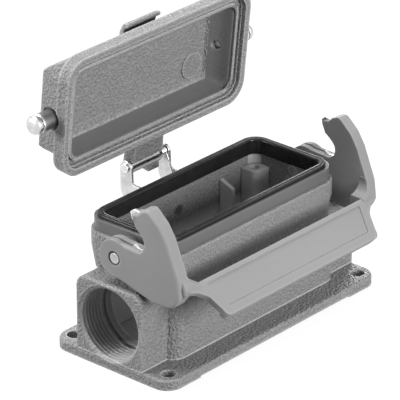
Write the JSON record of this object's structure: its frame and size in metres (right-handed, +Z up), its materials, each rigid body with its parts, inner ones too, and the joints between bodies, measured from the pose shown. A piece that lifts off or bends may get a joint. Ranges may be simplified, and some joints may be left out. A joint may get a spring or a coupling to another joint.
{
  "type": "heavy duty rectangular connector housing",
  "caption": "Surface-mounting base housing of a rectangular industrial connector, with a hinged cover held open, a hooked single lever, a rim seal and a threaded side cable entry.",
  "frame": {"origin": "centre of the four flange holes, on the plane that the mounting flange rests on", "axes": "+Z up from the mounting face to the open mouth, +X along the long side away from the cable entry, +Y from the lever's grip towards the cover hinge"},
  "size_m": [0.1195, 0.0844, 0.1085],
  "materials": {
    "powder_coated_casting": "fine textured grey powder coat on a die casting",
    "black_rubber": "smooth moulded rubber",
    "grey_plastic": "light grey glass-filled plastic, matt",
    "bright_steel": "zinc plated, bright",
    "dark_steel": "dull grey steel"
  },
  "bodies": {
    "base": {"housing_base": "powder_coated_casting", "rim_gasket": "black_rubber", "lever_pin_left": "bright_steel", "lever_pin_right": "bright_steel", "hinge_bracket": "bright_steel", "hinge_pin": "bright_steel", "hinge_spring": "bright_steel", "bracket_rivet": "dark_steel"},
    "lever": {"locking_lever": "grey_plastic", "hook_insert_left": "bright_steel", "hook_insert_right": "bright_steel"},
    "cover": {"cover_shell": "powder_coated_casting", "locking_peg_left": "bright_steel", "locking_peg_right": "bright_steel", "peg_sleeve_left": "dark_steel", "peg_sleeve_right": "dark_steel"}
  },
  "joints": [
    {"name": "cover_hinge", "type": "hinge", "parent": "base", "child": "cover", "pos_m": [-0.0035, 0.032, 0.0535], "axis": [1, 0, 0], "range_deg": [-12, 84.2]},
    {"name": "lever_pivot", "type": "hinge", "parent": "base", "child": "lever", "pos_m": [-0.0028, -0.0016, 0.044], "axis": [1, 0, 0], "range_deg": [-56, 0]}
  ]
}
